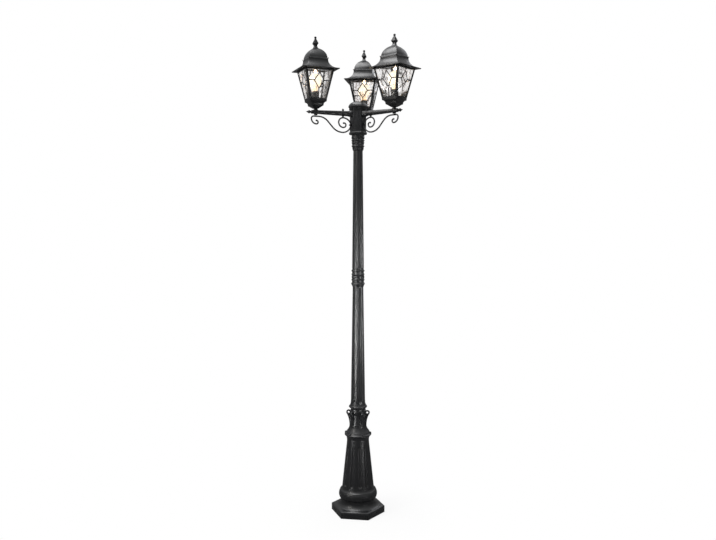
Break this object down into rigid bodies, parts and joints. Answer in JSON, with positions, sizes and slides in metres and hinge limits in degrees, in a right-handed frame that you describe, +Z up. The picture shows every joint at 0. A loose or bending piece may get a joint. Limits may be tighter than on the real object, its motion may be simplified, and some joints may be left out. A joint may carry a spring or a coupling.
{
  "type": "triple head garden lamp post",
  "caption": "Tall fluted garden lamp post on a hexagonal plinth; scroll-bracketed arms carry four-sided lanterns with leaded clear panes and ogee roofs.",
  "frame": {"origin": "on the ground, on the post's axis, at the underside of the ground plate and the plinth", "axes": "+Z up along the post; +Y towards the rear arm; the left and right arms point to 210 and 330 degrees from +X"},
  "size_m": [0.638, 0.5525, 2.3999],
  "materials": {
    "coat": "satin black powder coat on cast aluminium",
    "glass_panes": "clear rippled glass",
    "lead": "dark patinated lead came",
    "bulb_envelope": "opal, lit warm white",
    "bulb_shell": "plated screw shell",
    "holder_plastic": "black heat-resistant moulding",
    "zinc": "zinc-plated steel",
    "black_screw": "black-coated stainless fixings",
    "grommet_rubber": "black rubber",
    "connector_plastic": "off-white moulding"
  },
  "bodies": {
    "post": {"plinth": "coat", "fluted_base": "coat", "vase": "coat", "lower_column": "coat", "mid_coupling": "coat", "upper_column": "coat", "top_coupling": "coat", "hub_body": "coat", "hub_cap": "coat", "ground_plate": "zinc", "plinth_screws": "black_screw", "cable_grommet": "grommet_rubber", "tie_rod": "zinc", "tie_rod_nuts": "zinc", "terminal_block": "connector_plastic", "hub_cap_screws": "black_screw", "arm_lock_nuts": "zinc", "scroll_fixings": "black_screw", "lantern_fixings": "black_screw", "rear_arm": "coat", "rear_arm_tip": "coat", "rear_scroll": "coat", "rear_lantern_base": "coat", "rear_lantern_frame": "coat", "rear_lantern_glass": "glass_panes", "rear_lead_came": "lead", "rear_roof_yoke": "zinc", "rear_lampholder": "holder_plastic", "left_arm": "coat", "left_arm_tip": "coat", "left_scroll": "coat", "left_lantern_base": "coat", "left_lantern_frame": "coat", "left_lantern_glass": "glass_panes", "left_lead_came": "lead", "left_roof_yoke": "zinc", "left_lampholder": "holder_plastic", "right_arm": "coat", "right_arm_tip": "coat", "right_scroll": "coat", "right_lantern_base": "coat", "right_lantern_frame": "coat", "right_lantern_glass": "glass_panes", "right_lead_came": "lead", "right_roof_yoke": "zinc", "right_lampholder": "holder_plastic"},
    "rear_roof_body": {"rear_roof": "coat"},
    "rear_finial_body": {"rear_finial": "coat"},
    "rear_bulb_body": {"rear_bulb_glass": "bulb_envelope", "rear_bulb_cap": "bulb_shell"},
    "left_roof_body": {"left_roof": "coat"},
    "left_finial_body": {"left_finial": "coat"},
    "left_bulb_body": {"left_bulb_glass": "bulb_envelope", "left_bulb_cap": "bulb_shell"},
    "right_roof_body": {"right_roof": "coat"},
    "right_finial_body": {"right_finial": "coat"},
    "right_bulb_body": {"right_bulb_glass": "bulb_envelope", "right_bulb_cap": "bulb_shell"}
  },
  "joints": [
    {"name": "rear_roof_lift", "type": "slide", "parent": "post", "child": "rear_roof_body", "axis": [0, 0, 1], "range_m": [0, 0.13]},
    {"name": "rear_finial_screw", "type": "hinge", "parent": "rear_roof_body", "child": "rear_finial_body", "pos_m": [0, 0.2224, 2.345], "axis": [0, 0, 1], "continuous": true},
    {"name": "rear_bulb_screw", "type": "hinge", "parent": "post", "child": "rear_bulb_body", "pos_m": [0, 0.2224, 2.127], "axis": [0, 0, 1], "continuous": true},
    {"name": "left_roof_lift", "type": "slide", "parent": "post", "child": "left_roof_body", "axis": [0, 0, 1], "range_m": [0, 0.13]},
    {"name": "left_finial_screw", "type": "hinge", "parent": "left_roof_body", "child": "left_finial_body", "pos_m": [-0.1926, -0.1112, 2.345], "axis": [0, 0, 1], "continuous": true},
    {"name": "left_bulb_screw", "type": "hinge", "parent": "post", "child": "left_bulb_body", "pos_m": [-0.1926, -0.1112, 2.127], "axis": [0, 0, 1], "continuous": true},
    {"name": "right_roof_lift", "type": "slide", "parent": "post", "child": "right_roof_body", "axis": [0, 0, 1], "range_m": [0, 0.13]},
    {"name": "right_finial_screw", "type": "hinge", "parent": "right_roof_body", "child": "right_finial_body", "pos_m": [0.1926, -0.1112, 2.345], "axis": [0, 0, 1], "continuous": true},
    {"name": "right_bulb_screw", "type": "hinge", "parent": "post", "child": "right_bulb_body", "pos_m": [0.1926, -0.1112, 2.127], "axis": [0, 0, 1], "continuous": true}
  ]
}
